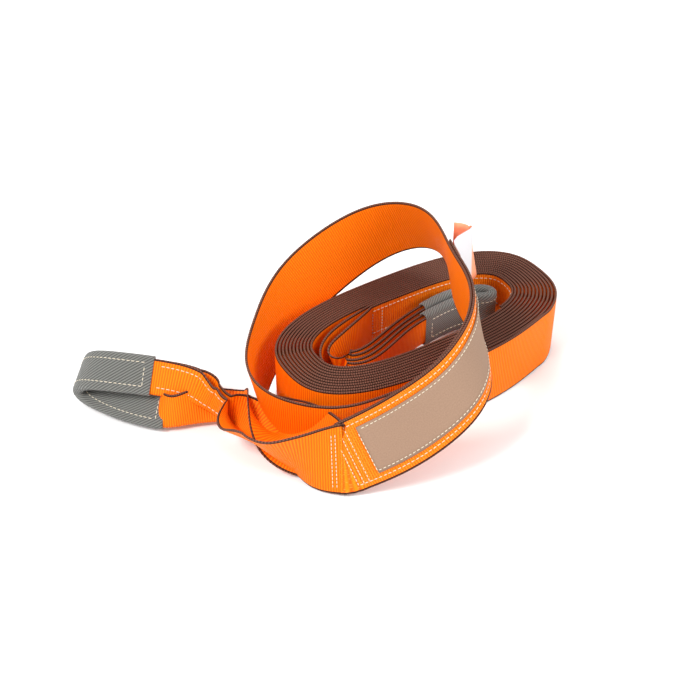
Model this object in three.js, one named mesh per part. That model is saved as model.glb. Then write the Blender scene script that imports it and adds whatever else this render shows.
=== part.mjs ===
// Recovery tow strap: one long webbing standing coiled on its edge, its outer end thrown over the coil
// in a loop. Each end is turned back, sewn down and folded lengthwise into an eye with a wear sleeve.
// Millimetres, +Z up, floor at z = 0. The label side faces -Y.

import * as THREE from "three";

// Webbing
const strapWidth = 75;
const strapThickness = 2.6;
const flapLength = strapWidth / 2;
const drawnFlapLength = 37.5;
const layerGap = 0.5;
const layerPitch = strapThickness + layerGap;
const foldedHalfSpread = 2.5;
const foldedDepth = Math.sqrt(flapLength ** 2 - foldedHalfSpread ** 2);
const flatDepth = 0.2;
const foldRadius = 5;
const miterLimit = 1.25;

// Coil: an oval spiral, its innermost and outermost turns measured on the webbing's middle
const coilTurns = 11.4;
const segmentsPerTurn = 36;
const coilYaw = THREE.MathUtils.degToRad(32.4);
const coilRoundness = 2.7;
const innerOval = { x: 71.5, y: -32.5, halfLength: 122, halfWidth: 43.5 };
const outerOval = { x: 73.5, y: -35.5, halfLength: 165, halfWidth: 82 };
const coilStartAngle = 1.75 * Math.PI;

// Free run
const sampleLength = 8;
const foldedSampleLength = 6;
const easingPasses = 13;
const foldedEasingPasses = 5;

const cutEndPlace = -22;
const innerDoubledSegments = 16;

// Wear sleeves
const sleeveWall = 1.1;
const outerSleeveClearance = 1;
const innerSleeveClearance = 0.4;
const upperSleeveEnd = -207;
const lowerSleeveEnd = -194;
const innerSleeveEnd = 78;

// Label and tag
const labelThickness = 1;
const labelWidth = 52;
const labelLength = 215;
const labelFromSeam = 22;
const tagThickness = 0.6;
const tagHeight = 66;
const tagSampleLength = 6;
const tagSeatStations = 4;
const tagSeatGap = 2.0;
const pieceClearance = 0.6;

const colours = {
  orange: 0xf07010,
  sleeve: 0x74736e,
  label: 0xa5876f,
  tag: 0xf2eee8,
};

const point = (x, y, z) => new THREE.Vector3(x, y, z);

// A place along the webbing: its top edge, its lengthwise middle and its bottom edge
function flat(top, bottom) {
  const topEdge = point(...top);
  const bottomEdge = point(...bottom);
  const middle = topEdge.clone().add(bottomEdge).multiplyScalar(0.5);
  return { top: topEdge, middle, bottom: bottomEdge };
}

// The same where it is folded lengthwise; the ways to the two edges are drawn for drawnFlapLength
function folded(middle, toTop, toBottom) {
  const fold = point(...middle);
  const edge = (way) => fold.clone().addScaledVector(point(...way), flapLength / drawnFlapLength);
  return { top: edge(toTop), middle: fold, bottom: edge(toBottom) };
}

function standing(x, y) {
  return flat([x, y, strapWidth], [x, y, 0]);
}

// The loop over the coil, from the wrap round the coil's front to the outer seam
const wrapAndArch = [
  standing(179, -62),
  standing(150, -85),
  standing(108, -114),
  standing(68, -140),
  standing(30, -162),
  standing(-4, -178),
  standing(-36, -176),
  flat([-66, -166, 75], [-64, -163, 0]),
  flat([-92, -148, 76], [-84, -140, 1]),
  flat([-107, -121, 79], [-93, -112, 6]),
  flat([-108, -90, 84], [-88, -78, 13]),
  flat([-101, -60, 91], [-76, -50, 22]),
  flat([-94, -30, 98], [-62, -22, 32]),
  flat([-82, 0, 106], [-44, 3, 42]),
  flat([-64, 24, 117], [-22, 21, 55]),
  flat([-27, 49, 135], [10, 47, 70]),
  flat([15, 59, 156], [48, 64, 89]),
  flat([57, 45, 172], [88, 58, 105]),
  flat([84, 17, 178], [107, 29, 108]),
];

// The doubled, label-carrying length from the loop's top down to the seam
const doubledLength = [
  flat([97, -20, 175], [109, -11, 102]),
  flat([104, -50, 172], [110, -42, 98]),
  flat([117, -80, 170], [120, -72, 95]),
  flat([120, -109, 166], [130, -101, 93]),
  flat([115, -139, 161], [138, -132, 90]),
  flat([101, -165, 153], [139, -163, 88]),
  flat([82, -184, 139], [127, -191, 79]),
  flat([60, -189, 120], [105, -208, 64]),
  flat([38, -188, 97], [79, -216, 46]),
  flat([14, -188, 80], [53, -221, 27]),
  flat([-15, -196, 72], [7, -225, 3]),
];

// The outer eye, from the seam along its upper strand, round its tip and back along its lower strand
const outerEye = [
  flat([-40, -211, 74], [-23, -220, 3]),
  flat([-60, -220, 71], [-48, -205, 5]),
  flat([-78, -222, 63], [-68, -190, 7]),
  flat([-95, -207, 55], [-89, -163, 6]),
  folded([-113, -146, 14], [1, -19, 33], [1, 24, 29]),
  folded([-136, -127, 16], [0, -10, 36], [4, 4, 37]),
  folded([-158, -118, 25], [2, 3, 37], [5, 10, 35]),
  folded([-182, -119, 35], [3, 22, 31], [5, 25, 28]),
  folded([-211, -117, 40], [7, 24, 30], [8, 26, 27]),
  folded([-240, -114, 42], [7, 24, 30], [8, 26, 27]),
  folded([-266, -108, 40], [6, 27, 27], [9, 29, 24]),
  folded([-283, -99, 32], [4, 32, 20], [9, 33, 17]),
  folded([-291, -91, 19], [6, 38, 6], [10, 38, 6]),
  folded([-286, -94, 11], [9, 37, 7], [11, 36, 10]),
  folded([-271, -104, 9], [12, 32, 17], [13, 31, 20]),
  folded([-243, -120, 9], [16, 27, 21], [16, 25, 24]),
  folded([-214, -131, 9], [21, 25, 20], [21, 22, 23]),
  folded([-192, -135, 8], [20, 26, 19], [20, 23, 23]),
  folded([-167, -129, 8], [12, 27, 22], [11, 25, 25]),
  folded([-141, -125, 8], [4, 33, 13], [4, 31, 19]),
  folded([-116, -128, 9], [3, 36, 4], [3, 33, 16]),
  folded([-93, -141, 14], [2, 32, 18], [2, -6, 37]),
  folded([-68, -160, 22], [0, 28, 25], [0, -35, 13]),
  flat([-47, -152, 58], [-41, -208, 9]),
];

// The inner eye inside the bore, from its seam along one strand, round the tip and back along the other
const innerEye = [
  flat([0, -35, 76], [4, -37, 1]),
  folded([-15, -56, 38], [-3, 1, 38], [8, -6, -36]),
  folded([-27, -78, 35], [-3, 1, 38], [26, -2, -26]),
  folded([-24, -97, 31], [-3, -2, 38], [28, 18, -6]),
  folded([-4, -102, 30], [1, -4, 38], [3, 12, 35]),
  folded([20, -92, 30], [2, -2, 38], [-2, 3, 38]),
  folded([42, -66, 30], [2, -2, 38], [-2, 2, 38]),
  folded([61, -40, 30], [2, -2, 38], [-2, 2, 38]),
  folded([84, -18, 30], [2, -2, 38], [-2, 2, 38]),
  folded([114, 5, 30], [2, -2, 38], [-2, 2, 38]),
  folded([138, 14, 30], [1, -3, 38], [-1, 2, 38]),
  folded([151, 14, 30], [2, -2, 38], [-2, 2, 38]),
  folded([158, 21, 30], [3, 0, 38], [-2, 0, 38]),
  folded([151, 28, 30], [1, 3, 38], [-1, -2, 38]),
  folded([136, 27, 30], [-1, 3, 38], [1, -2, 38]),
  folded([107, 18, 30], [-2, 2, 38], [2, -2, 38]),
  folded([76, -8, 30], [-2, 2, 38], [2, -2, 38]),
  folded([52, -33, 30], [-2, 2, 38], [2, -2, 38]),
  folded([32, -59, 30], [-2, 2, 38], [2, -2, 38]),
  folded([13, -80, 30], [-2, 2, 38], [2, -2, 38]),
  folded([-4, -87, 30], [-1, 3, 38], [5, 5, 37]),
  folded([-13, -79, 32], [-3, 1, 38], [24, 8, 20]),
  folded([-3, -60, 38], [-2, 2, 38], [22, -10, -26]),
  folded([10, -41, 39], [-2, 1, 38], [5, -4, -37]),
];

// The white tag past the cut end it is sewn to, out to its crease and back
const tagPath = [
  flat([124, -5, 171], [136, 3, 98]),
  flat([124, 3, 171], [137, 11, 98]),
  flat([116, 8, 171], [129, 16, 98]),
  flat([103, 10, 171], [117, 18, 98]),
];

const reversed = (stations) => [...stations].reverse();

// The oval's point at a winding angle; level runs from 0 at the inner turn to 1 at the outer one
function ovalPoint(angle, level) {
  const mix = (key) => THREE.MathUtils.lerp(innerOval[key], outerOval[key], level);
  const power = 2 / coilRoundness;
  const along = mix("halfLength") * Math.sign(Math.cos(angle)) * Math.abs(Math.cos(angle)) ** power;
  const across = mix("halfWidth") * Math.sign(Math.sin(angle)) * Math.abs(Math.sin(angle)) ** power;
  return {
    x: mix("x") + along * Math.cos(coilYaw) - across * Math.sin(coilYaw),
    y: mix("y") + along * Math.sin(coilYaw) + across * Math.cos(coilYaw),
  };
}

// Stations of the spiral from its outermost point inward
function coilStations() {
  const count = Math.round(coilTurns * segmentsPerTurn);
  return Array.from({ length: count + 1 }, (_, i) => {
    const done = i / count;
    const place = ovalPoint(coilStartAngle + done * coilTurns * 2 * Math.PI, 1 - done);
    return standing(place.x, place.y);
  });
}

// Smooth run through a list of stations, sampled at even steps
function smoothRun(stations, step) {
  const curveOf = (key) => new THREE.CatmullRomCurve3(stations.map((s) => s[key]), false, "centripetal");
  const curves = { top: curveOf("top"), middle: curveOf("middle"), bottom: curveOf("bottom") };
  const count = Math.ceil(curves.middle.getLength() / step);
  return Array.from({ length: count + 1 }, (_, i) => ({
    top: curves.top.getPoint(i / count),
    middle: curves.middle.getPoint(i / count),
    bottom: curves.bottom.getPoint(i / count),
  }));
}

// Evens out a run by repeated averaging with its neighbours; its two ends stay put
function eased(run, passes) {
  let current = run;
  for (let pass = 0; pass < passes; pass += 1) {
    current = current.map((station, i) => {
      if (i === 0 || i === current.length - 1) {
        return station;
      }
      const mean = (key) => {
        const neighbours = current[i - 1][key].clone().add(current[i + 1][key]).multiplyScalar(0.5);
        return neighbours.lerp(station[key], 0.5);
      };
      return { top: mean("top"), middle: mean("middle"), bottom: mean("bottom") };
    });
  }
  return current;
}

// Moves a run sideways, off its own face
function besideRun(stations, distance) {
  return stations.map((station, i) => {
    const before = stations[Math.max(i - 1, 0)].middle;
    const after = stations[Math.min(i + 1, stations.length - 1)].middle;
    const along = after.clone().sub(before);
    const across = station.top.clone().sub(station.bottom);
    const shift = across.cross(along).setLength(distance);
    return {
      top: station.top.clone().add(shift),
      middle: station.middle.clone().add(shift),
      bottom: station.bottom.clone().add(shift),
    };
  });
}

// Squares each station up: flaps of full length, level with each other and never closer than when folded
function squaredRun(stations) {
  return stations.map((station, i) => {
    const before = stations[Math.max(i - 1, 0)].middle;
    const after = stations[Math.min(i + 1, stations.length - 1)].middle;
    const along = after.clone().sub(before).normalize();
    const edgeToEdge = station.top.clone().sub(station.bottom);
    const toEdges = station.top.clone().add(station.bottom).multiplyScalar(0.5).sub(station.middle);
    const depth = Math.min(toEdges.length(), foldedDepth);
    const spread = Math.sqrt(flapLength ** 2 - depth ** 2);
    const isOpen = spread > depth;
    const lead = isOpen ? edgeToEdge : toEdges;
    lead.addScaledVector(along, -lead.dot(along)).normalize();
    const other = along.clone().cross(lead);
    const partner = isOpen ? toEdges : edgeToEdge;
    other.multiplyScalar(other.dot(partner) < 0 ? -1 : 1);
    const sideways = isOpen ? lead : other;
    const inward = isOpen ? other : lead;
    const tip = station.middle.clone().addScaledVector(inward, depth);
    return {
      top: tip.clone().addScaledVector(sideways, spread),
      middle: station.middle,
      bottom: tip.clone().addScaledVector(sideways, -spread),
      along,
      inward,
      sideways,
      isFlat: depth < flatDepth,
    };
  });
}

// Points across the webbing: its edges alone where it is flat, and round the fold where it is folded
function acrossPoints(station, isPlain) {
  if (isPlain) {
    return [station.top, station.bottom];
  }
  const nearFold = (edge, side) => {
    const place = station.middle.clone().lerp(edge, foldRadius / flapLength);
    const offset = place.clone().sub(station.middle).dot(station.sideways);
    const wanted = Math.max(Math.abs(offset), foldedHalfSpread) * side;
    return place.addScaledVector(station.sideways, wanted - offset);
  };
  return [station.top, nearFold(station.top, 1), station.middle, nearFold(station.bottom, -1), station.bottom];
}

// Closed ring of points round the webbing at one station
function webbingRing(station, isPlain) {
  const across = acrossPoints(station, isPlain);
  const half = strapThickness / 2;
  const segmentNormals = across.slice(1).map((p, i) => {
    return p.clone().sub(across[i]).cross(station.along).normalize();
  });
  const offsets = across.map((_, i) => {
    const before = segmentNormals[Math.max(i - 1, 0)];
    const after = segmentNormals[Math.min(i, segmentNormals.length - 1)];
    const mean = before.clone().add(after).normalize();
    return mean.multiplyScalar(half * Math.min(1 / mean.dot(before), miterLimit));
  });
  const front = across.map((p, i) => p.clone().add(offsets[i]));
  const back = across.map((p, i) => p.clone().sub(offsets[i]));
  return { front, back };
}

// Collects triangles and turns them into a mesh
class Skin {
  constructor() {
    this.positions = [];
  }

  triangle(a, b, c) {
    for (const p of [a, b, c]) {
      this.positions.push(p.x, p.y, p.z);
    }
  }

  // Joins two rows that may hold different numbers of points. A sheet's back is joined from its far row
  // with nearFirst, so its triangles lie behind the front's and the sheet keeps its thickness
  joinRows(near, far, nearFirst = false) {
    let i = 0;
    let j = 0;
    while (i < near.length - 1 || j < far.length - 1) {
      const nextNear = (i + 1) / (near.length - 1);
      const nextFar = (j + 1) / (far.length - 1);
      const stepsNear = nearFirst ? nextNear <= nextFar : nextNear < nextFar;
      if (stepsNear || j === far.length - 1) {
        this.triangle(near[i], near[i + 1], far[j]);
        i += 1;
      } else {
        this.triangle(near[i], far[j + 1], far[j]);
        j += 1;
      }
    }
  }

  mesh(name, colour) {
    const geometry = new THREE.BufferGeometry();
    geometry.setAttribute("position", new THREE.Float32BufferAttribute(this.positions, 3));
    geometry.computeVertexNormals();
    const material = new THREE.MeshStandardMaterial({ color: colour, roughness: 0.8 });
    const mesh = new THREE.Mesh(geometry, material);
    mesh.name = name;
    return mesh;
  }
}

// Ribbon solid swept through squared stations
function webbingMesh(stations) {
  const skin = new Skin();
  const rings = stations.map((station) => webbingRing(station, station.isFlat));
  for (let i = 0; i < rings.length - 1; i += 1) {
    const here = rings[i];
    const next = rings[i + 1];
    skin.joinRows(here.front, next.front);
    skin.joinRows(next.back, here.back, true);
    skin.joinRows([here.front.at(-1), here.back.at(-1)], [next.front.at(-1), next.back.at(-1)]);
    skin.joinRows([here.back[0], here.front[0]], [next.back[0], next.front[0]]);
  }
  skin.joinRows(rings[0].back, rings[0].front);
  skin.joinRows(rings.at(-1).front, rings.at(-1).back);
  return skin.mesh("webbing", colours.orange);
}

// Flat-sided, round-cornered outline round a folded strand: the sleeve's inner face, or outer when a wall is given
function sleeveRing(station, clearance, wall) {
  const foldedHalfThickness = (strapThickness * miterLimit) / 2;
  const margin = clearance + wall;
  const halfThick = foldedHalfSpread + foldedHalfThickness + margin;
  const foldEnd = -foldedHalfThickness - margin;
  const edgeEnd = flapLength + margin;
  const corner = halfThick * 0.6;
  const edgeCorner = margin;
  const outline = [
    [foldEnd, corner - halfThick],
    [foldEnd + corner, -halfThick],
    [edgeEnd - edgeCorner, -halfThick],
    [edgeEnd, edgeCorner - halfThick],
    [edgeEnd, halfThick - edgeCorner],
    [edgeEnd - edgeCorner, halfThick],
    [foldEnd + corner, halfThick],
    [foldEnd, halfThick - corner],
  ];
  const hand = Math.sign(station.inward.clone().cross(station.sideways).dot(station.along));
  return outline.map(([depth, side]) => {
    const onAxis = station.middle.clone().addScaledVector(station.inward, depth);
    return onAxis.addScaledVector(station.sideways, side * hand);
  });
}

// Tube with open ends round a stretch of folded webbing
function sleeveMesh(name, stations, clearance) {
  const skin = new Skin();
  const closed = (ring) => [...ring, ring[0]];
  const inner = stations.map((station) => closed(sleeveRing(station, clearance, 0)));
  const outer = stations.map((station) => closed(sleeveRing(station, clearance, sleeveWall)));
  for (let i = 0; i < stations.length - 1; i += 1) {
    skin.joinRows(outer[i], outer[i + 1]);
    skin.joinRows(inner[i + 1], inner[i]);
  }
  skin.joinRows(inner[0], outer[0]);
  skin.joinRows(outer.at(-1), inner.at(-1));
  return skin.mesh(name, colours.sleeve);
}

// Thin plate following a run of stations, centred on it or hung from an edge
function plateMesh(name, colour, stations, width, thickness) {
  const skin = new Skin();
  const shrink = width / strapWidth;
  const rows = stations.map((station) => {
    const face = station.bottom.clone().sub(station.top).cross(station.along).setLength(thickness / 2);
    const top = station.middle.clone().lerp(station.top, shrink);
    const bottom = station.middle.clone().lerp(station.bottom, shrink);
    return {
      front: [top.clone().add(face), bottom.clone().add(face)],
      back: [top.clone().sub(face), bottom.clone().sub(face)],
    };
  });
  for (let i = 0; i < rows.length - 1; i += 1) {
    const here = rows[i];
    const next = rows[i + 1];
    skin.joinRows(here.front, next.front);
    skin.joinRows(next.back, here.back, true);
    skin.joinRows([here.front[1], here.back[1]], [next.front[1], next.back[1]]);
    skin.joinRows([here.back[0], here.front[0]], [next.back[0], next.front[0]]);
  }
  skin.joinRows(rows[0].back, rows[0].front);
  skin.joinRows(rows.at(-1).front, rows.at(-1).back);
  return skin.mesh(name, colour);
}

// Whole webbing, from the outer cut end to the inner one
const coil = coilStations();
const freeRun = smoothRun([coil[0], ...wrapAndArch, ...doubledLength], sampleLength);
const sharedRun = eased(freeRun, easingPasses).slice(1);
const cutEndIndex = sharedRun.findIndex((station) => station.middle.z > 100 && station.middle.y < cutEndPlace);
const outerLayer = besideRun(sharedRun, layerPitch).slice(cutEndIndex);
const eyeRun = eased(
  smoothRun([outerLayer.at(-1), ...outerEye, sharedRun.at(-1)], foldedSampleLength),
  foldedEasingPasses,
).slice(1, -1);

const innerLayer = besideRun(coil.slice(-innerDoubledSegments), layerPitch);
const innerEyeRun = eased(
  smoothRun([coil.at(-1), ...innerEye, innerLayer.at(-1)], foldedSampleLength),
  foldedEasingPasses,
).slice(1, -1);

const webbingStations = squaredRun([
  ...outerLayer,
  ...eyeRun,
  ...reversed(sharedRun),
  ...coil,
  ...innerEyeRun,
  ...reversed(innerLayer),
]);

const outerSleeveRun = squaredRun(eyeRun).filter((station) => {
  return station.middle.x < (station.middle.z > 15 ? upperSleeveEnd : lowerSleeveEnd);
});
const innerSleeveRun = squaredRun(innerEyeRun).filter((station) => station.middle.x > innerSleeveEnd);

// The part of a run between two distances from its last station
function stretchFromEnd(run, nearest, farthest) {
  let travelled = 0;
  return run.filter((_, i) => {
    const place = run.length - 1 - i;
    travelled = 0;
    for (let k = run.length - 1; k > run.length - 1 - place; k -= 1) {
      travelled += run[k].middle.distanceTo(run[k - 1].middle);
    }
    return travelled >= nearest && travelled <= farthest;
  });
}

const labelFace = besideRun(outerLayer, (strapThickness + labelThickness) / 2 + pieceClearance);
const labelRun = squaredRun(stretchFromEnd(labelFace, labelFromSeam, labelFromSeam + labelLength));
const tagFace = besideRun(outerLayer, (strapThickness + tagThickness) / 2 + tagSeatGap);
const tagSeat = reversed(tagFace.slice(0, tagSeatStations));
const tagRun = squaredRun(eased(smoothRun([...tagSeat, ...tagPath], tagSampleLength), 1));

const strap = new THREE.Group();
strap.name = "tow_strap";
strap.add(webbingMesh(webbingStations));
strap.add(sleeveMesh("outer_sleeve", outerSleeveRun, outerSleeveClearance));
strap.add(sleeveMesh("inner_sleeve", innerSleeveRun, innerSleeveClearance));
strap.add(plateMesh("label_patch", colours.label, labelRun, labelWidth, labelThickness));
strap.add(plateMesh("sewn_tag", colours.tag, tagRun, tagHeight, tagThickness));

// The origin goes under the middle of the strap, on the floor
const extent = new THREE.Box3().setFromObject(strap);
const middle = extent.getCenter(new THREE.Vector3());
for (const mesh of strap.children) {
  mesh.geometry.translate(-middle.x, -middle.y, -extent.min.z);
}

export default strap;
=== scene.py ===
# Recovery tow strap: orange webbing with dark selvedges, coiled on its edge, its outer end looped over the
# coil. Each end is doubled back, stitched, and folded lengthwise into an eye inside a grey wear sleeve.
# Metres, +Z up. The route is drawn in millimetres and turned into metres as its stations are made.

import math
import random

import bpy
import numpy as np
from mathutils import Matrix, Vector


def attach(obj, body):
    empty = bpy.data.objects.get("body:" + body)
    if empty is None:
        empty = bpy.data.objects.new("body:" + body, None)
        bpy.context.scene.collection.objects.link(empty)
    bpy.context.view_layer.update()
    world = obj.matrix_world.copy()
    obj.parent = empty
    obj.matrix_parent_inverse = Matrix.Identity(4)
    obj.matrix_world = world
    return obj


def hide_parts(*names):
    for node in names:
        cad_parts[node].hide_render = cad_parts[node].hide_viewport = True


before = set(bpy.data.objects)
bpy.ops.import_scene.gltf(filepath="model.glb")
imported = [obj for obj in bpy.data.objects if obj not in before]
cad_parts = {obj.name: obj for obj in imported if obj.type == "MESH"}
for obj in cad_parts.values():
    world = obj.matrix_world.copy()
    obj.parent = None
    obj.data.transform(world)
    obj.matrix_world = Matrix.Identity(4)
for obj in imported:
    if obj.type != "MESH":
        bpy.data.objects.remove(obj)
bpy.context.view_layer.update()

MM = 0.001

# Webbing
STRAP_WIDTH = 0.075
STRAP_THICKNESS = 0.0026
FLAP = STRAP_WIDTH / 2
LAYER_GAP = 0.0005
LAYER_PITCH = STRAP_THICKNESS + LAYER_GAP
SELVEDGE_WIDTH = 0.0023
# The dark brown selvedge is the webbing's own colour; keeping its pinkish flecks to this rim paints a
# highlight along the edge crests, and the selvedge left dark beyond it also stands as painted shade between
# coil turns
HIGHLIT_RIM = 0.001
FOLDED_DEPTH = 0.0374
FOLD_BEND = 0.0025
TIGHTEST_FOLD = math.radians(88.5)
CLOSED_SHARE = 0.93
RIB_PITCH = 0.0025

# Coil
COIL_TURNS = 11.4
SEGMENTS_PER_TURN = 36
COIL_YAW = math.radians(32.4)
COIL_ROUNDNESS = 2.7
INNER_OVAL = np.array([0.0715, -0.0325, 0.122, 0.0435])
OUTER_OVAL = np.array([0.0735, -0.0355, 0.165, 0.082])
COIL_START = 1.75 * math.pi

# Free run
SAMPLE = 0.008
FOLDED_SAMPLE = 0.006
EASING_PASSES = 13
FOLDED_EASING_PASSES = 5
CUT_END_HEIGHT = 0.1
CUT_END_PLACE = -0.022
INNER_DOUBLED_SEGMENTS = 16

# The drawn route's origin, seen from the origin under the middle of the strap
ROUTE_ORIGIN = np.array([0.034426, 0.070673, 0.000027])

# Sleeves
SLEEVE_WALL = 0.0011
SLEEVE_CLEARANCE = 0.0006
UPPER_SLEEVE_END = -0.207
LOWER_SLEEVE_END = -0.194
STRAND_HEIGHT = 0.015
INNER_SLEEVE_END = 0.078

# Label and tag
LABEL_THICKNESS = 0.0009
LABEL_WIDTH = 0.052
LABEL_LENGTH = 0.215
LABEL_FROM_SEAM = 0.022
TAG_THICKNESS = 0.0004
TAG_HEIGHT = 0.066
TAG_SAMPLE = 0.004
TAG_SEAT_STATIONS = 4
TAG_SEAT_GAP = 0.002
PIECE_CLEARANCE = 0.0006

# Thread
THREAD_RADIUS = 0.00042
STITCH_PITCH = 0.0052
STITCH_SHARE = 0.7
SEAM_PITCH = 0.0042
SEAM_ROWS = (0.0, 0.0045, 0.011)
EYE_SEAM_ROWS = (0.0045, 0.0075)
FOLD_ROW = 0.008
STRAND_ROWS_END = -0.12
SLEEVE_HEM = 0.007
SLEEVE_ROW_DEPTHS = (0.006, 0.031)
ROW_SAMPLES = 24
THREAD_SHOWN = 0.5
EDGE_ROW = 0.007
LABEL_ROW = 0.003
LABEL_PITCH = 0.0048
STITCH_START = 0.1
STITCH_JITTER = 0.04
BEAD_SIDES = 5
DRESSED_RUNS = ("outer_layer", "outer_eye", "inner_eye", "inner_layer")

# Places along a stitch, and the share of the thread's radius it has there
BEAD_PROFILE = ((0.0, 0.35), (0.22, 1.0), (0.78, 1.0), (1.0, 0.35))

# Cross-section of the webbing, in millimetres from its lengthwise middle
ACROSS_PLACES = (-37.5, -36.6, -34.5, -27, -18, -9, -4, -1.8, 0, 1.8, 4, 9, 18, 27, 34.5, 36.6, 37.5)
HALF_THICKNESS = (0.7, 1.15, 1.3, 1.3, 1.3, 1.3, 1.3, 1.3, 1.3, 1.3, 1.3, 1.3, 1.3, 1.3, 1.3, 1.15, 0.7)
REFINEMENT = 3
GUIDE_SAMPLES = 201
PROFILE_SAMPLES = 151
TANGENT_STEP = 1e-4

# Sleeve and plate sections
FOLD_HALF_THICKNESS = 0.004
SLEEVE_CORNER = 0.004
CORNER_POINTS = 5
RIM_CLOTH = 0.001
PLATE_PLACES = 9
TAG_CREASE = 0.62

# Colours and weave
ORANGE = (1.0, 0.235, 0.0)
# Painted shade: the darker orange laid into the grooves between the ribs
ORANGE_GROOVE_SHADE = (0.76, 0.1, 0.0)
ORANGE_DEEP = (0.9, 0.15, 0.0)
ORANGE_THREAD = (1.0, 0.4, 0.06)
SELVEDGE_DARK = (0.012, 0.005, 0.003)
# Pinkish fleck colour, laid only on the selvedge rims as a painted highlight
SELVEDGE_FLECK_HIGHLIGHT = (0.2, 0.078, 0.05)
# Painted shade in the twill grooves and painted highlight on its ridges
SLEEVE_GROOVE_SHADE = (0.07, 0.07, 0.063)
SLEEVE_RIDGE_HIGHLIGHT = (0.2, 0.2, 0.185)
LABEL_DARK = (0.25, 0.155, 0.105)
LABEL_LIGHT = (0.34, 0.22, 0.15)
TAG_WHITE = (0.7, 0.7, 0.72)
TAG_PEACH = (1.0, 0.36, 0.2)
THREAD_WHITE = (0.72, 0.64, 0.5)
FLOOR_WHITE = (0.9, 0.9, 0.9)
WARP_PITCH = 0.0013
TWILL_PITCH = 0.0026
WEBBING_RELIEF = 0.0004
SLEEVE_RELIEF = 0.0006
PLATE_RELIEF = 0.0001
WEAR_SCALE = 160
THREAD_SPECKLE_SCALE = 900
LABEL_GRAIN_SCALE = 700
TAG_GRAIN_SCALE = 300

# Camera and room
IMAGE_PIXELS = 700
FOCAL_PIXELS = 1330
SENSOR = 36
CAMERA_DISTANCE = 1.5
CAMERA_ELEVATION = math.radians(40)
WORLD_STRENGTH = 0.7
FLOOR_SIZE = 8
FLOOR_DROP = -0.0005

# Name, place, target, size and power of each lamp
LAMPS = (
    ("key", (-0.9, -0.9, 1.6), (0.03, 0, 0.05), 0.6, 34),
    ("fill", (1.3, -0.7, 1.0), (0, 0, 0.05), 0.8, 16),
    ("back", (-0.3, 1.3, 1.4), (0, 0, 0.05), 1.0, 12),
)

random.seed(11)


# Route


def flat(top, bottom):
    """A place along the webbing: its top edge, lengthwise middle and bottom edge, drawn in millimetres."""
    top = np.array(top, float)
    bottom = np.array(bottom, float)
    return np.array([top, (top + bottom) / 2, bottom]) * MM


def folded(middle, to_top, to_bottom):
    middle = np.array(middle, float)
    return np.array([middle + to_top, middle, middle + to_bottom]) * MM


def standing(x, y):
    width = STRAP_WIDTH / MM
    return flat((x, y, width), (x, y, 0))


WRAP_AND_ARCH = [
    standing(179, -62),
    standing(150, -85),
    standing(108, -114),
    standing(68, -140),
    standing(30, -162),
    standing(-4, -178),
    standing(-36, -176),
    flat((-66, -166, 75), (-64, -163, 0)),
    flat((-92, -148, 76), (-84, -140, 1)),
    flat((-107, -121, 79), (-93, -112, 6)),
    flat((-108, -90, 84), (-88, -78, 13)),
    flat((-101, -60, 91), (-76, -50, 22)),
    flat((-94, -30, 98), (-62, -22, 32)),
    flat((-82, 0, 106), (-44, 3, 42)),
    flat((-64, 24, 117), (-22, 21, 55)),
    flat((-27, 49, 135), (10, 47, 70)),
    flat((15, 59, 156), (48, 64, 89)),
    flat((57, 45, 172), (88, 58, 105)),
    flat((84, 17, 178), (107, 29, 108)),
]

DOUBLED_LENGTH = [
    flat((97, -20, 175), (109, -11, 102)),
    flat((104, -50, 172), (110, -42, 98)),
    flat((117, -80, 170), (120, -72, 95)),
    flat((120, -109, 166), (130, -101, 93)),
    flat((115, -139, 161), (138, -132, 90)),
    flat((101, -165, 153), (139, -163, 88)),
    flat((82, -184, 139), (127, -191, 79)),
    flat((60, -189, 120), (105, -208, 64)),
    flat((38, -188, 97), (79, -216, 46)),
    flat((14, -188, 80), (53, -221, 27)),
    flat((-15, -196, 72), (7, -225, 3)),
]

OUTER_EYE = [
    flat((-40, -211, 74), (-23, -220, 3)),
    flat((-60, -220, 71), (-48, -205, 5)),
    flat((-78, -222, 63), (-68, -190, 7)),
    flat((-95, -207, 55), (-89, -163, 6)),
    folded((-113, -146, 14), (1, -19, 33), (1, 24, 29)),
    folded((-136, -127, 16), (0, -10, 36), (4, 4, 37)),
    folded((-158, -118, 25), (2, 3, 37), (5, 10, 35)),
    folded((-182, -119, 35), (3, 22, 31), (5, 25, 28)),
    folded((-211, -117, 40), (7, 24, 30), (8, 26, 27)),
    folded((-240, -114, 42), (7, 24, 30), (8, 26, 27)),
    folded((-266, -108, 40), (6, 27, 27), (9, 29, 24)),
    folded((-283, -99, 32), (4, 32, 20), (9, 33, 17)),
    folded((-291, -91, 19), (6, 38, 6), (10, 38, 6)),
    folded((-286, -94, 11), (9, 37, 7), (11, 36, 10)),
    folded((-271, -104, 9), (12, 32, 17), (13, 31, 20)),
    folded((-243, -120, 9), (16, 27, 21), (16, 25, 24)),
    folded((-214, -131, 9), (21, 25, 20), (21, 22, 23)),
    folded((-192, -135, 8), (20, 26, 19), (20, 23, 23)),
    folded((-167, -129, 8), (12, 27, 22), (11, 25, 25)),
    folded((-141, -125, 8), (4, 33, 13), (4, 31, 19)),
    folded((-116, -128, 9), (3, 36, 4), (3, 33, 16)),
    folded((-93, -141, 14), (2, 32, 18), (2, -6, 37)),
    folded((-68, -160, 22), (0, 28, 25), (0, -35, 13)),
    flat((-47, -152, 58), (-41, -208, 9)),
]

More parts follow.
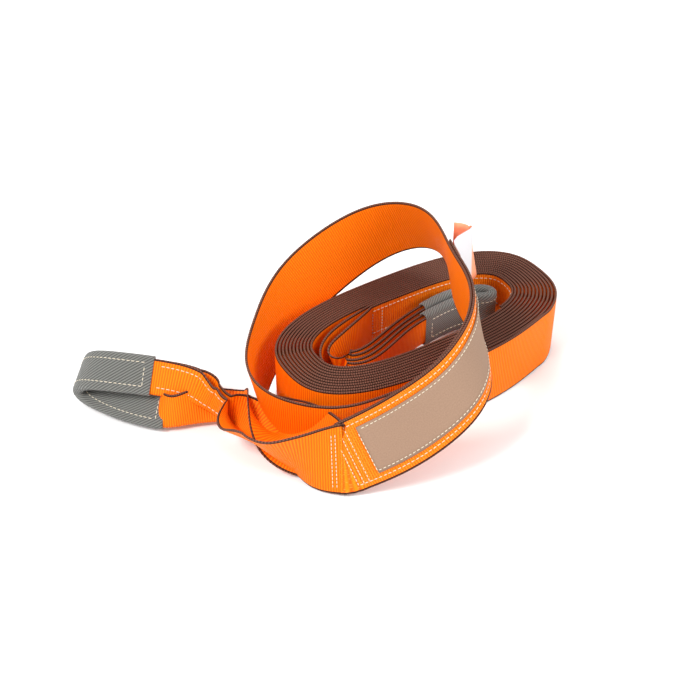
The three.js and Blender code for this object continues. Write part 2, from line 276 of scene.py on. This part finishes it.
INNER_EYE = [
    flat((0, -35, 76), (4, -37, 1)),
    folded((-15, -56, 38), (-3, 1, 38), (8, -6, -36)),
    folded((-27, -78, 35), (-3, 1, 38), (26, -2, -26)),
    folded((-24, -97, 31), (-3, -2, 38), (28, 18, -6)),
    folded((-4, -102, 30), (1, -4, 38), (3, 12, 35)),
    folded((20, -92, 30), (2, -2, 38), (-2, 3, 38)),
    folded((42, -66, 30), (2, -2, 38), (-2, 2, 38)),
    folded((61, -40, 30), (2, -2, 38), (-2, 2, 38)),
    folded((84, -18, 30), (2, -2, 38), (-2, 2, 38)),
    folded((114, 5, 30), (2, -2, 38), (-2, 2, 38)),
    folded((138, 14, 30), (1, -3, 38), (-1, 2, 38)),
    folded((151, 14, 30), (2, -2, 38), (-2, 2, 38)),
    folded((158, 21, 30), (3, 0, 38), (-2, 0, 38)),
    folded((151, 28, 30), (1, 3, 38), (-1, -2, 38)),
    folded((136, 27, 30), (-1, 3, 38), (1, -2, 38)),
    folded((107, 18, 30), (-2, 2, 38), (2, -2, 38)),
    folded((76, -8, 30), (-2, 2, 38), (2, -2, 38)),
    folded((52, -33, 30), (-2, 2, 38), (2, -2, 38)),
    folded((32, -59, 30), (-2, 2, 38), (2, -2, 38)),
    folded((13, -80, 30), (-2, 2, 38), (2, -2, 38)),
    folded((-4, -87, 30), (-1, 3, 38), (5, 5, 37)),
    folded((-13, -79, 32), (-3, 1, 38), (24, 8, 20)),
    folded((-3, -60, 38), (-2, 2, 38), (22, -10, -26)),
    folded((10, -41, 39), (-2, 1, 38), (5, -4, -37)),
]

TAG_PATH = [
    flat((124, -5, 171), (136, 3, 98)),
    flat((124, 3, 171), (137, 11, 98)),
    flat((116, 8, 171), (129, 16, 98)),
    flat((103, 10, 171), (117, 18, 98)),
]


def unit(vectors):
    return vectors / np.maximum(np.linalg.norm(vectors, axis=-1, keepdims=True), 1e-9)


def coil_run():
    """Stations of the oval spiral from its outermost point inward."""
    count = round(COIL_TURNS * SEGMENTS_PER_TURN)
    done = np.linspace(0, 1, count + 1)[:, None]
    oval = OUTER_OVAL + (INNER_OVAL - OUTER_OVAL) * done
    angle = COIL_START + done[:, 0] * COIL_TURNS * 2 * math.pi
    power = 2 / COIL_ROUNDNESS
    along = oval[:, 2] * np.sign(np.cos(angle)) * np.abs(np.cos(angle)) ** power
    across = oval[:, 3] * np.sign(np.sin(angle)) * np.abs(np.sin(angle)) ** power
    x = oval[:, 0] + along * math.cos(COIL_YAW) - across * math.sin(COIL_YAW)
    y = oval[:, 1] + along * math.sin(COIL_YAW) + across * math.cos(COIL_YAW)
    return np.array([standing(px / MM, py / MM) for px, py in zip(x, y)])


def curve_points(points, places):
    """Centripetal Catmull-Rom curve through the points, at places counted in points."""
    before = 2 * points[0] - points[1]
    after = 2 * points[-1] - points[-2]
    ends = np.vstack([before, points, after])
    index = np.minimum(places.astype(int), len(points) - 2)
    p0, p1, p2, p3 = (ends[index + k] for k in range(4))
    t = (places - index)[:, None]
    d0, d1, d2 = (np.maximum(np.linalg.norm(b - a, axis=1, keepdims=True), 1e-6) ** 0.5
                  for a, b in ((p0, p1), (p1, p2), (p2, p3)))
    m1 = d1 * ((p1 - p0) / d0 - (p2 - p0) / (d0 + d1) + (p2 - p1) / d1)
    m2 = d1 * ((p2 - p1) / d1 - (p3 - p1) / (d1 + d2) + (p3 - p2) / d2)
    square = 3 * (p2 - p1) - 2 * m1 - m2
    cube = 2 * (p1 - p2) + m1 + m2
    return p1 + t * (m1 + t * (square + t * cube))


def smooth_run(stations, step):
    """Smooth run through a list of stations, sampled at even steps."""
    stations = np.array(stations)
    last = len(stations) - 1
    guide = curve_points(stations[:, 1], np.linspace(0, last, GUIDE_SAMPLES))
    length = np.linalg.norm(np.diff(guide, axis=0), axis=1).sum()
    places = np.linspace(0, last, math.ceil(length / step) + 1)
    return np.stack([curve_points(stations[:, key], places) for key in range(3)], axis=1)


def eased(run, passes):
    run = run.copy()
    for _ in range(passes):
        run[1:-1] = run[1:-1] / 2 + (run[:-2] + run[2:]) / 4
    return run


def travel(run):
    """Unit directions of travel at every station."""
    middle = run[:, 1]
    after = np.vstack([middle[1:], middle[-1:]])
    before = np.vstack([middle[:1], middle[:-1]])
    return unit(after - before)


def beside_run(run, distance):
    """The run moved off its own face."""
    normal = unit(np.cross(run[:, 0] - run[:, 2], travel(run)))
    return run + (normal * distance)[:, None, :]


def distances(points):
    steps = np.linalg.norm(np.diff(points, axis=0), axis=1)
    return np.concatenate([[0], np.cumsum(steps)])


def running_sum(rates, step):
    """Every row's rates summed up from its start, by the trapezium rule."""
    grown = np.cumsum((rates[:, 1:] + rates[:, :-1]) / 2 * step, axis=1)
    return np.concatenate([np.zeros((len(rates), 1)), grown], axis=1)


class Strip:
    """A run of webbing with its own frame and fold angle at every station."""

    def __init__(self, run):
        along = travel(run)
        edge = run[:, 0] - run[:, 2]
        edge -= (edge * along).sum(1, keepdims=True) * along
        to_edges = (run[:, 0] + run[:, 2]) / 2 - run[:, 1]
        to_edges -= (to_edges * along).sum(1, keepdims=True) * along
        sideways = np.cross(along, to_edges)
        sideways *= np.where((sideways * edge).sum(1, keepdims=True) < 0, -1, 1)
        self.middle = run[:, 1]
        self.along = along
        self.sideways = unit(edge / 2 + sideways)
        self.inward = np.cross(along, self.sideways)
        share = np.clip((to_edges * self.inward).sum(1) / (FOLDED_DEPTH * CLOSED_SHARE), -1, 1)
        self.fold = np.arcsin(share) * TIGHTEST_FOLD / (math.pi / 2)
        self.distance = distances(run[:, 1])

    def part(self, chosen):
        """The strip's stations where the given mask holds."""
        strip = Strip.__new__(Strip)
        for name in ("middle", "along", "sideways", "inward", "fold", "distance"):
            setattr(strip, name, getattr(self, name)[chosen])
        return strip

    def profile(self, across):
        """Offsets sideways and inward of the folded cross-section, for every station and place across."""
        fine = np.linspace(0, FLAP, PROFILE_SAMPLES)
        bend = np.tanh(fine / FOLD_BEND) / math.tanh(FLAP / FOLD_BEND)
        turned = self.fold[:, None] * bend[None, :]
        step = fine[1]
        side = running_sum(np.cos(turned), step)
        depth = running_sum(np.sin(turned), step)
        wanted = np.abs(across)
        side_at = np.array([np.interp(wanted, fine, row) for row in side]) * np.sign(across)
        depth_at = np.array([np.interp(wanted, fine, row) for row in depth])
        return side_at, depth_at

    def surface(self, across, lift=0.0):
        """Points of the face at places across the webbing (+ towards its top edge), raised off it by lift."""
        across = np.atleast_1d(np.asarray(across, float))
        side, depth = self.profile(across)
        points = (self.middle[:, None, :] + side[:, :, None] * self.sideways[:, None, :]
                  + depth[:, :, None] * self.inward[:, None, :])
        next_side, next_depth = self.profile(across + TANGENT_STEP)
        last_side, last_depth = self.profile(across - TANGENT_STEP)
        tangent = ((next_side - last_side)[:, :, None] * self.sideways[:, None, :]
                   + (next_depth - last_depth)[:, :, None] * self.inward[:, None, :])
        normal = unit(np.cross(tangent, self.along[:, None, :]))
        return points + normal * np.asarray(lift)[..., None], normal


# Meshes


def new_piece(name, points, faces, uvs, material):
    """Mesh object with one uv per face corner, in metres along and across the cloth."""
    mesh = bpy.data.meshes.new(name)
    mesh.from_pydata((points + ROUTE_ORIGIN).tolist(), [], faces)
    layer = mesh.uv_layers.new(name="cloth")
    flat_uvs = np.array([uv for face in uvs for uv in face], np.float32)
    layer.data.foreach_set("uv", flat_uvs.ravel())
    mesh.polygons.foreach_set("use_smooth", [True] * len(mesh.polygons))
    mesh.update()
    piece = bpy.data.objects.new(name, mesh)
    bpy.context.scene.collection.objects.link(piece)
    piece.data.materials.append(material)
    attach(piece, "root")
    return piece


def ring_mesh(rings, distance, around, closed_ends=True):
    """Faces and uvs of a tube joined through rings of equally many points."""
    count, size = rings.shape[:2]
    index = np.arange(count * size).reshape(count, size)
    faces = []
    uvs = []
    for i in range(count - 1):
        for k in range(size):
            n = (k + 1) % size
            faces.append((index[i, k], index[i, n], index[i + 1, n], index[i + 1, k]))
            uvs.append((
                (distance[i], around[k]),
                (distance[i], around[k + 1]),
                (distance[i + 1], around[k + 1]),
                (distance[i + 1], around[k]),
            ))
    if closed_ends:
        faces.append(tuple(index[0, ::-1]))
        uvs.append(tuple((distance[0], around[k]) for k in reversed(range(size))))
        faces.append(tuple(index[-1]))
        uvs.append(tuple((distance[-1], around[k]) for k in range(size)))
    faces = [tuple(int(v) for v in face) for face in faces]
    return rings.reshape(-1, 3), faces, uvs


def ribbon_mesh(strip, across, half_thickness):
    """Closed ribbon over a strip: its front face, an edge, its back face, an edge."""
    across = np.asarray(across)
    centre, normal = strip.surface(across)
    half = np.asarray(half_thickness)[None, :, None]
    rings = np.concatenate([centre + normal * half, (centre - normal * half)[:, ::-1]], axis=1)
    around = np.concatenate([across, across[::-1], across[:1]]) + FLAP
    return ring_mesh(rings, strip.distance, around)


# Materials


class Shader:
    """A Principled material with short ways to add the nodes it is made of."""

    def __init__(self, name, roughness, sheen=0.0):
        self.material = bpy.data.materials.new(name)
        self.material.use_nodes = True
        self.tree = self.material.node_tree
        self.surface = self.tree.nodes["Principled BSDF"]
        self.surface.inputs["Roughness"].default_value = roughness
        self.surface.inputs["Sheen Weight"].default_value = sheen
        self.surface.inputs["Specular IOR Level"].default_value = 0.15
        uv = self.tree.nodes.new("ShaderNodeUVMap")
        uv.uv_map = "cloth"
        self.uv = uv.outputs["UV"]
        split = self.tree.nodes.new("ShaderNodeSeparateXYZ")
        self.link(self.uv, split.inputs[0])
        self.along = split.outputs["X"]
        self.across = split.outputs["Y"]

    def link(self, source, target):
        if isinstance(source, (int, float)):
            target.default_value = source
        elif isinstance(source, tuple):
            target.default_value = (*source, 1)
        else:
            self.tree.links.new(source, target)

    def math(self, operation, a, b=0.0, c=0.0):
        node = self.tree.nodes.new("ShaderNodeMath")
        node.operation = operation
        for value, socket in zip((a, b, c), node.inputs):
            self.link(value, socket)
        return node.outputs[0]

    def wave(self, coordinate, pitch, phase=0.0):
        """A sine from 0 to 1 along a coordinate."""
        turned = self.math("MULTIPLY_ADD", coordinate, 2 * math.pi / pitch, phase)
        return self.math("MULTIPLY_ADD", self.math("SINE", turned), 0.5, 0.5)

    def noise(self, scale, detail=2.0):
        node = self.tree.nodes.new("ShaderNodeTexNoise")
        node.inputs["Scale"].default_value = scale
        node.inputs["Detail"].default_value = detail
        self.link(self.uv, node.inputs["Vector"])
        return node.outputs["Fac"]

    def mask(self, value, low, high):
        """0 below low, 1 above high."""
        node = self.tree.nodes.new("ShaderNodeMapRange")
        for amount, key in ((value, "Value"), (low, "From Min"), (high, "From Max")):
            self.link(amount, node.inputs[key])
        return node.outputs[0]

    def mix(self, factor, first, second):
        node = self.tree.nodes.new("ShaderNodeMix")
        node.data_type = "RGBA"
        self.link(factor, node.inputs["Factor"])
        self.link(first, node.inputs["A"])
        self.link(second, node.inputs["B"])
        return node.outputs["Result"]

    def finish(self, colour, height=None, depth=0.0):
        self.link(colour, self.surface.inputs["Base Color"])
        if height is not None:
            bump = self.tree.nodes.new("ShaderNodeBump")
            bump.inputs["Distance"].default_value = depth
            self.link(height, bump.inputs["Height"])
            self.link(bump.outputs[0], self.surface.inputs["Normal"])
        return self.material


def webbing_material(doubled_end, doubled_start):
    """Orange ribbed webbing with its rib grooves darkened by painted shade, and dark selvedges whose pinkish
    flecks are kept to the outer rim as a painted highlight along the edge crests; its sewn-down ends are
    speckled with thread.
    """
    shader = Shader("orange_webbing", 0.6)
    worn = shader.noise(WEAR_SCALE)
    ribs = shader.wave(shader.along, RIB_PITCH)
    warp = shader.wave(shader.across, WARP_PITCH)
    # Painted shade: the orange darkens in the rib grooves, in step with the rib bump
    body = shader.mix(ribs, ORANGE_GROOVE_SHADE, ORANGE)
    body = shader.mix(shader.math("MULTIPLY", worn, 0.25), body, ORANGE_DEEP)
    outer_end = shader.math("LESS_THAN", shader.along, doubled_end)
    inner_end = shader.math("GREATER_THAN", shader.along, doubled_start)
    sewn = shader.math("MAXIMUM", outer_end, inner_end)
    speckle = shader.mask(shader.noise(THREAD_SPECKLE_SCALE, 1.0), 0.56, 0.64)
    threads = shader.math("MULTIPLY", shader.math("MULTIPLY", sewn, speckle), 0.45)
    body = shader.mix(threads, body, ORANGE_THREAD)
    from_edge = shader.math("MINIMUM", shader.across, shader.math("SUBTRACT", STRAP_WIDTH, shader.across))
    is_body = shader.mask(from_edge, SELVEDGE_WIDTH * 0.85, SELVEDGE_WIDTH * 1.15)
    # Painted highlight: flecks only on the outermost rim of each selvedge, the edge crests; the dark selvedge
    # beyond it is its own yarn colour and also stands as painted shade in the gaps between coil turns
    highlit_rim = shader.mask(from_edge, HIGHLIT_RIM * 1.3, HIGHLIT_RIM * 0.7)
    flecks = shader.math("MULTIPLY_ADD", shader.wave(shader.along, RIB_PITCH, 1.2), 0.6, 0.3)
    selvedge = shader.mix(shader.math("MULTIPLY", flecks, highlit_rim), SELVEDGE_DARK, SELVEDGE_FLECK_HIGHLIGHT)
    height = shader.math("MULTIPLY_ADD", warp, 0.35, ribs)
    return shader.finish(shader.mix(is_body, selvedge, body), height, WEBBING_RELIEF)


def sleeve_material():
    """Grey twill with diagonal ribs, its grooves darkened with painted shade and its ridges lightened with a
    painted highlight.
    """
    shader = Shader("grey_sleeve", 0.7, sheen=0.2)
    slanted = shader.math("MULTIPLY_ADD", shader.across, 0.8, shader.math("MULTIPLY", shader.along, 0.6))
    ribs = shader.wave(slanted, TWILL_PITCH)
    threads = shader.wave(shader.math("SUBTRACT", shader.along, shader.across), TWILL_PITCH * 0.55)
    # Painted shade and highlight: the grey darkens in the rib grooves and lightens on the ridges, in step
    # with the bump
    colour = shader.mix(ribs, SLEEVE_GROOVE_SHADE, SLEEVE_RIDGE_HIGHLIGHT)
    return shader.finish(colour, shader.math("MULTIPLY_ADD", threads, 0.3, ribs), SLEEVE_RELIEF)


def label_material():
    shader = Shader("tan_label", 0.65)
    grain = shader.noise(LABEL_GRAIN_SCALE)
    return shader.finish(shader.mix(grain, LABEL_DARK, LABEL_LIGHT), grain, PLATE_RELIEF)


def tag_material(crease):
    """White tag with its far leaf tinted peach, as the light thrown back by the orange webbing colours it."""
    shader = Shader("white_tag", 0.5)
    leaf = shader.mask(shader.along, crease - 0.001, crease + 0.001)
    return shader.finish(shader.mix(leaf, TAG_WHITE, TAG_PEACH), shader.noise(TAG_GRAIN_SCALE), PLATE_RELIEF)


def plain_material(name, colour, roughness):
    return Shader(name, roughness).finish(colour)


# Pieces


def eye_run(stations):
    return eased(smooth_run(stations, FOLDED_SAMPLE), FOLDED_EASING_PASSES)[1:-1]


def whole_route():
    coil = coil_run()
    shared = eased(smooth_run([coil[0], *WRAP_AND_ARCH, *DOUBLED_LENGTH], SAMPLE), EASING_PASSES)[1:]
    past_cut = (shared[:, 1, 2] > CUT_END_HEIGHT) & (shared[:, 1, 1] < CUT_END_PLACE)
    outer_layer = beside_run(shared, LAYER_PITCH)[np.argmax(past_cut):]
    outer_eye = eye_run([outer_layer[-1], *OUTER_EYE, shared[-1]])
    inner_layer = beside_run(coil[-INNER_DOUBLED_SEGMENTS:], LAYER_PITCH)
    inner_eye = eye_run([coil[-1], *INNER_EYE, inner_layer[-1]])
    return {
        "outer_layer": outer_layer,
        "outer_eye": outer_eye,
        "shared": shared[::-1],
        "coil": coil,
        "inner_eye": inner_eye,
        "inner_layer": inner_layer[::-1],
    }


def refined(run, times):
    places = np.linspace(0, len(run) - 1, (len(run) - 1) * times + 1)
    return np.stack([curve_points(run[:, key], places) for key in range(3)], axis=1)


def make_webbing(route):
    strip = Strip(refined(np.concatenate(list(route.values())), REFINEMENT))
    starts = np.cumsum([0] + [len(run) for run in route.values()]) * REFINEMENT
    seam = strip.distance[starts[1]]
    inner_seam = strip.distance[starts[5]]
    across = np.array(ACROSS_PLACES) * MM
    points, faces, uvs = ribbon_mesh(strip, across, np.array(HALF_THICKNESS) * MM)
    webbing = new_piece("strap_webbing", points, faces, uvs, webbing_material(seam, inner_seam))
    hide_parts("webbing")
    return webbing, strip.distance[-1]


def sleeve_rings(strip, margin):
    """Rounded outline round the folded strand at every station, and the places round it."""
    half = FOLD_HALF_THICKNESS + margin
    low = -STRAP_THICKNESS / 2 - margin
    high = FOLDED_DEPTH + margin
    turns = np.radians(np.linspace(0, 90, CORNER_POINTS))
    corners = [(high, half, 0), (low, half, 90), (low, -half, 180), (high, -half, 270)]
    outline = []
    for depth, side, start in corners:
        centre_depth = depth - math.copysign(SLEEVE_CORNER, depth)
        centre_side = side - math.copysign(SLEEVE_CORNER, side)
        for turn in turns + math.radians(start):
            across_corner = SLEEVE_CORNER * math.sin(turn)
            outline.append((centre_depth + SLEEVE_CORNER * math.cos(turn), centre_side + across_corner))
    outline = np.array(outline)
    inward = strip.inward * np.sign(strip.fold)[:, None]
    side = np.cross(strip.along, inward)
    rings = (strip.middle[:, None, :] + outline[None, :, 0, None] * inward[:, None, :]
             + outline[None, :, 1, None] * side[:, None, :])
    closed = np.vstack([outline, outline[:1]])
    return rings, distances(closed)


def make_sleeve(name, node, strip, material):
    """Cloth tube with open ends round a folded strand."""
    outer, around = sleeve_rings(strip, SLEEVE_CLEARANCE + SLEEVE_WALL)
    inner, _ = sleeve_rings(strip, SLEEVE_CLEARANCE)
    skin, faces, uvs = ring_mesh(outer, strip.distance, around, closed_ends=False)
    lining, lining_faces, lining_uvs = ring_mesh(inner, strip.distance, around, closed_ends=False)
    first = len(skin)
    faces += [tuple(first + v for v in reversed(face)) for face in lining_faces]
    uvs += [tuple(reversed(uv)) for uv in lining_uvs]
    size = outer.shape[1]
    last = first - size
    for k in range(size):
        n = (k + 1) % size
        faces.append((first + k, first + n, n, k))
        faces.append((last + k, last + n, first + last + n, first + last + k))
        uvs += [((0, 0), (0, RIM_CLOTH), (RIM_CLOTH, RIM_CLOTH), (RIM_CLOTH, 0))] * 2
    sleeve = new_piece(name, np.vstack([skin, lining]), faces, uvs, material)
    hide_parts(node)


def make_plate(name, node, strip, width, thickness, material):
    across = np.linspace(-width / 2, width / 2, PLATE_PLACES)
    points, faces, uvs = ribbon_mesh(strip, across, np.full(PLATE_PLACES, thickness / 2))
    plate = new_piece(name, points, faces, uvs, material)
    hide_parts(node)


# Stitching


def bead(a, b, normal):
    """Closed bead of thread from a to b, standing a little proud in the middle."""
    along = unit(b - a)
    side = np.cross(along, normal)
    rings = []
    for place, swell in BEAD_PROFILE:
        centre = a + (b - a) * place
        for k in range(BEAD_SIDES):
            turn = 2 * math.pi * k / BEAD_SIDES
            rings.append(centre + THREAD_RADIUS * swell * (math.cos(turn) * side + math.sin(turn) * normal))
    return rings


def bead_faces(first):
    """Sides and ends of one bead, whose points begin at index first."""
    faces = []
    last = first + (len(BEAD_PROFILE) - 1) * BEAD_SIDES
    for ring in range(first, last, BEAD_SIDES):
        for k in range(BEAD_SIDES):
            beside = (k + 1) % BEAD_SIDES
            faces.append((ring + k, ring + beside, ring + BEAD_SIDES + beside, ring + BEAD_SIDES + k))
    faces.append(tuple(first + k for k in reversed(range(BEAD_SIDES))))
    faces.append(tuple(last + k for k in range(BEAD_SIDES)))
    return faces


def make_stitching(name, rows, thread):
    """All the beads of several rows, each row a list of points and normals along it."""
    points = []
    faces = []
    for row, normals, pitch in rows:
        length = distances(row)
        count = int(length[-1] / pitch)
        for i in range(count):
            start = (i + STITCH_START + random.uniform(-STITCH_JITTER, STITCH_JITTER)) * pitch
            end = start + pitch * STITCH_SHARE
            a, b, n = (np.array([np.interp(at, length, values[:, k]) for k in range(3)])
                       for at, values in ((start, row), (end, row), ((start + end) / 2, normals)))
            first = len(points)
            points += bead(a, b, unit(n))
            faces += bead_faces(first)
    uvs = [((0, 0),) * len(face) for face in faces]
    return new_piece(name, np.array(points), faces, uvs, thread)


def lengthwise_row(strip, across, lift, pitch=STITCH_PITCH):
    points, normals = strip.surface(across, lift)
    return points[:, 0], normals[:, 0] * math.copysign(1, lift), pitch


def crosswise_row(strip, from_start, low, high, lift, pitch):
    """Row across the strip at a distance from its start."""
    across = np.linspace(low, high, ROW_SAMPLES)
    index = np.argmin(np.abs(strip.distance - strip.distance[0] - from_start))
    points, normals = strip.part(slice(index, index + 1)).surface(across, lift)
    return points[0], normals[0] * math.copysign(1, lift), pitch


def frame_rows(strip, low, high, lift, pitch):
    """Rows along both sides and across both ends of a stretch."""
    length = strip.distance[-1] - strip.distance[0]
    return [
        lengthwise_row(strip, low, lift, pitch),
        lengthwise_row(strip, high, lift, pitch),
        crosswise_row(strip, 0, low, high, lift, pitch),
        crosswise_row(strip, length, low, high, lift, pitch),
    ]


def sleeve_rows(strip):
    """Stitched rectangle on each flat side of a sleeve."""
    half = FOLD_HALF_THICKNESS + SLEEVE_CLEARANCE + SLEEVE_WALL + THREAD_RADIUS * THREAD_SHOWN
    inward = strip.inward * np.sign(strip.fold)[:, None]
    rows = []
    for sign in (-1, 1):
        side = np.cross(strip.along, inward) * sign
        face = strip.middle + side * half
        from_start = strip.distance - strip.distance[0]
        inside = (from_start > SLEEVE_HEM) & (from_start < from_start[-1] - SLEEVE_HEM)
        for depth in SLEEVE_ROW_DEPTHS:
            rows.append(((face + inward * depth)[inside], side[inside], STITCH_PITCH))
        for index in np.flatnonzero(inside)[[0, -1]]:
            depths = np.linspace(*SLEEVE_ROW_DEPTHS, ROW_SAMPLES)[:, None]
            normals = np.repeat(side[index][None], ROW_SAMPLES, axis=0)
            rows.append((face[index] + inward[index] * depths, normals, STITCH_PITCH))
    return rows


def outside_lift(strip, lift):
    """The lift that lies on the outer face of a folded strip."""
    return lift * math.copysign(1, strip.fold.mean())


def stretch(strip, start, length):
    """The part of a strip from a distance before its last station, back by a length."""
    from_end = strip.distance[-1] - strip.distance
    return strip.part((from_end >= start) & (from_end <= start + length))


# Scene


def make_floor():
    bpy.ops.mesh.primitive_plane_add(size=FLOOR_SIZE, location=(0, 0, FLOOR_DROP))
    floor = bpy.context.object
    floor.name = "floor"
    floor.data.materials.append(plain_material("white_paper", FLOOR_WHITE, 0.9))


def make_light(name, place, target, size, power):
    lamp = bpy.data.lights.new(name, "AREA")
    lamp.shape = "DISK"
    lamp.size = size
    lamp.energy = power
    light = bpy.data.objects.new(name, lamp)
    light.location = place
    to_target = Vector(target) - Vector(place)
    light.rotation_euler = to_target.to_track_quat("-Z", "Y").to_euler()
    bpy.context.scene.collection.objects.link(light)


def make_camera():
    camera = bpy.data.cameras.new("camera")
    camera.sensor_width = SENSOR
    camera.lens = FOCAL_PIXELS * SENSOR / IMAGE_PIXELS
    camera.clip_end = 20
    mount = bpy.data.objects.new("camera", camera)
    mount.location = ROUTE_ORIGIN + CAMERA_DISTANCE * np.array(
        [0, -math.cos(CAMERA_ELEVATION), math.sin(CAMERA_ELEVATION)]
    )
    mount.rotation_euler = (math.pi / 2 - CAMERA_ELEVATION, 0, 0)
    bpy.context.scene.collection.objects.link(mount)
    bpy.context.scene.camera = mount


def light_scene():
    scene = bpy.context.scene
    world = bpy.data.worlds.new("studio")
    world.use_nodes = True
    background = world.node_tree.nodes["Background"]
    background.inputs["Color"].default_value = (1, 1, 1, 1)
    background.inputs["Strength"].default_value = WORLD_STRENGTH
    scene.world = world
    scene.view_settings.view_transform = "Standard"
    for lamp in LAMPS:
        make_light(*lamp)


def sleeved_parts(outer_eye, inner_eye):
    """The stretches of both eyes that run inside the sleeves."""
    eye_x = outer_eye.middle[:, 0]
    is_upper = outer_eye.middle[:, 2] > STRAND_HEIGHT
    outer = outer_eye.part(eye_x < np.where(is_upper, UPPER_SLEEVE_END, LOWER_SLEEVE_END))
    inner = inner_eye.part(inner_eye.middle[:, 0] > INNER_SLEEVE_END)
    return outer, inner


def make_label(outer_run):
    offset = (STRAP_THICKNESS + LABEL_THICKNESS) / 2 + PIECE_CLEARANCE
    strip = stretch(Strip(beside_run(refined(outer_run, REFINEMENT), offset)), LABEL_FROM_SEAM, LABEL_LENGTH)
    cloth = label_material()
    make_plate("label_patch_cloth", "label_patch", strip, LABEL_WIDTH, LABEL_THICKNESS, cloth)
    return strip


def make_tag(outer_run):
    offset = (STRAP_THICKNESS + TAG_THICKNESS) / 2 + TAG_SEAT_GAP
    seat = beside_run(outer_run, offset)[:TAG_SEAT_STATIONS][::-1]
    strip = Strip(eased(smooth_run([*seat, *TAG_PATH], TAG_SAMPLE), 1))
    crease = float(np.interp(TAG_CREASE, [0, 1], strip.distance[[0, -1]]))
    make_plate("folded_tag", "sewn_tag", strip, TAG_HEIGHT, TAG_THICKNESS, tag_material(crease))


def webbing_rows(strips):
    """Rows that sew down both doubled ends, and those along the outer eye's upper strand."""
    outer_layer = strips["outer_layer"]
    outer_eye = strips["outer_eye"]
    inner_layer = strips["inner_layer"]
    face = STRAP_THICKNESS / 2 + THREAD_RADIUS * THREAD_SHOWN
    edge = FLAP - EDGE_ROW
    seam = outer_layer.distance[-1]
    rows = [lengthwise_row(outer_layer, place, face) for place in (edge, -edge)]
    rows += [crosswise_row(outer_layer, seam - back, -edge, edge, face, SEAM_PITCH) for back in SEAM_ROWS]
    rows += [crosswise_row(outer_eye, along, -edge, edge, face, SEAM_PITCH) for along in EYE_SEAM_ROWS]
    eye_x = outer_eye.middle[:, 0]
    is_upper = outer_eye.middle[:, 2] > STRAND_HEIGHT
    strand = outer_eye.part((eye_x > UPPER_SLEEVE_END) & (eye_x < STRAND_ROWS_END) & is_upper)
    outside = outside_lift(strand, face)
    rows += [lengthwise_row(strand, place, outside) for place in (edge, FOLD_ROW, -FOLD_ROW, -edge)]
    rows += [lengthwise_row(inner_layer, place, -face) for place in (edge, 0, -edge)]
    rows += [crosswise_row(inner_layer, along, -edge, edge, -face, SEAM_PITCH) for along in SEAM_ROWS]
    return rows


def label_rows(strip):
    edge = LABEL_WIDTH / 2 - LABEL_ROW
    return frame_rows(strip, -edge, edge, LABEL_THICKNESS / 2 + THREAD_RADIUS * THREAD_SHOWN, LABEL_PITCH)


route = whole_route()
webbing, cut_length = make_webbing(route)
strips = {name: Strip(refined(route[name], REFINEMENT)) for name in DRESSED_RUNS}
sleeved_outer, sleeved_inner = sleeved_parts(strips["outer_eye"], strips["inner_eye"])
sleeve_cloth = sleeve_material()
make_sleeve("outer_wear_sleeve", "outer_sleeve", sleeved_outer, sleeve_cloth)
make_sleeve("inner_wear_sleeve", "inner_sleeve", sleeved_inner, sleeve_cloth)
label_strip = make_label(route["outer_layer"])
make_tag(route["outer_layer"])

thread = plain_material("white_thread", THREAD_WHITE, 0.6)
stitching = make_stitching("webbing_stitching", webbing_rows(strips), thread)
make_stitching("outer_sleeve_stitching", sleeve_rows(sleeved_outer), thread)
make_stitching("inner_sleeve_stitching", sleeve_rows(sleeved_inner), thread)
make_stitching("label_stitching", label_rows(label_strip), thread)

make_floor()
make_camera()
light_scene()
